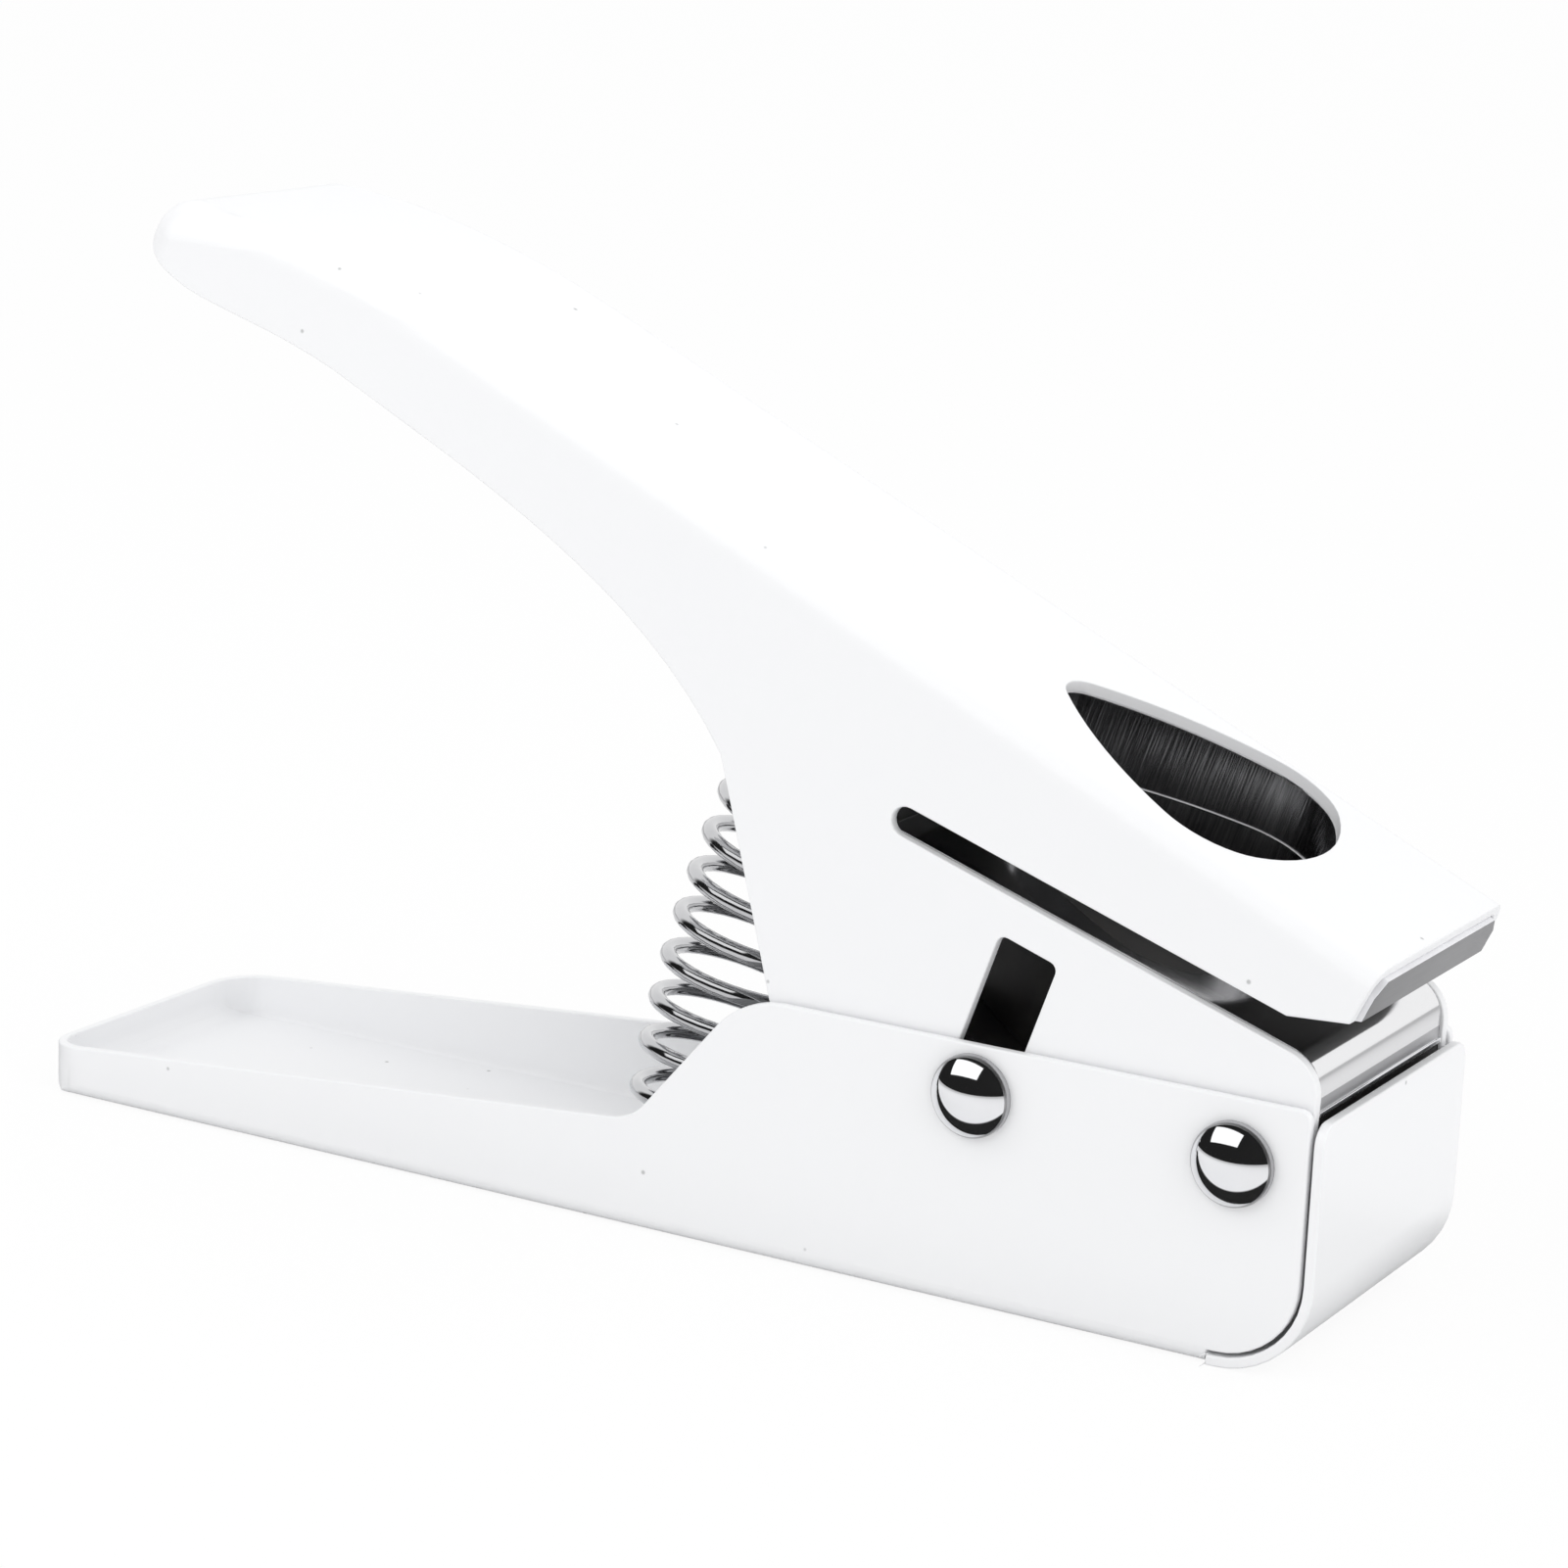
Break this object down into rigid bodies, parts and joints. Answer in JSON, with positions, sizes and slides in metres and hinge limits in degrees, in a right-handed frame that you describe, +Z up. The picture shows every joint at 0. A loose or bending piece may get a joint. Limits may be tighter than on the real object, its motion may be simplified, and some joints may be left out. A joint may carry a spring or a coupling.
{
  "type": "guitar pick punch",
  "caption": "Hand lever punch that cuts a guitar pick out of a plastic card: folded sheet base with a tray, hinged handle with a die, pick-shaped punch and coil return spring.",
  "frame": {"origin": "on the ground under the middle of the whole punch at rest", "axes": "+X towards the nose and the front flap, +Y across the punch, +Z up"},
  "size_m": [0.1442, 0.0386, 0.0922],
  "materials": {
    "white_coat": "satin powder coat",
    "chrome": "polished",
    "spring_wire": "plated wire",
    "plated_steel": "zinc plated",
    "die_steel": "ground, cut by wire",
    "black_steel": "black oxide",
    "bush_bronze": "sintered"
  },
  "bodies": {
    "base": {"base_tray": "white_coat", "spring_seat": "plated_steel", "seat_rivet": "plated_steel", "pivot_pin": "chrome", "pivot_pin_cap": "chrome", "punch_pin": "chrome", "punch_pin_cap": "chrome", "return_spring": "spring_wire"},
    "handle": {"handle_shell": "white_coat", "pivot_bush_near": "bush_bronze", "pivot_bush_far": "bush_bronze", "pivot_spacer": "plated_steel", "die_backing": "die_steel", "die_plate": "die_steel", "die_spacer": "die_steel", "guide_plate": "chrome", "die_screws": "black_steel", "spring_cup": "plated_steel"},
    "punch": {"punch": "black_steel", "punch_holder": "black_steel", "punch_screws": "plated_steel"}
  },
  "joints": [
    {"name": "handle_press", "type": "hinge", "parent": "base", "child": "handle", "pos_m": [0.06059, 0, 0.0191], "axis": [0, -1, 0], "range_deg": [0, 24], "stiffness_Nm_per_rad": 3, "springref_deg": -14.32, "deforming": ["return_spring"]},
    {"name": "punch_slide", "type": "slide", "parent": "handle", "child": "punch", "axis": [0.3148, 0, 0.9492], "range_m": [0, 0.01075]}
  ],
  "couplings": [
    {"joint": "punch_slide", "follows": "handle_press", "m_per_rad": 0.025587}
  ]
}
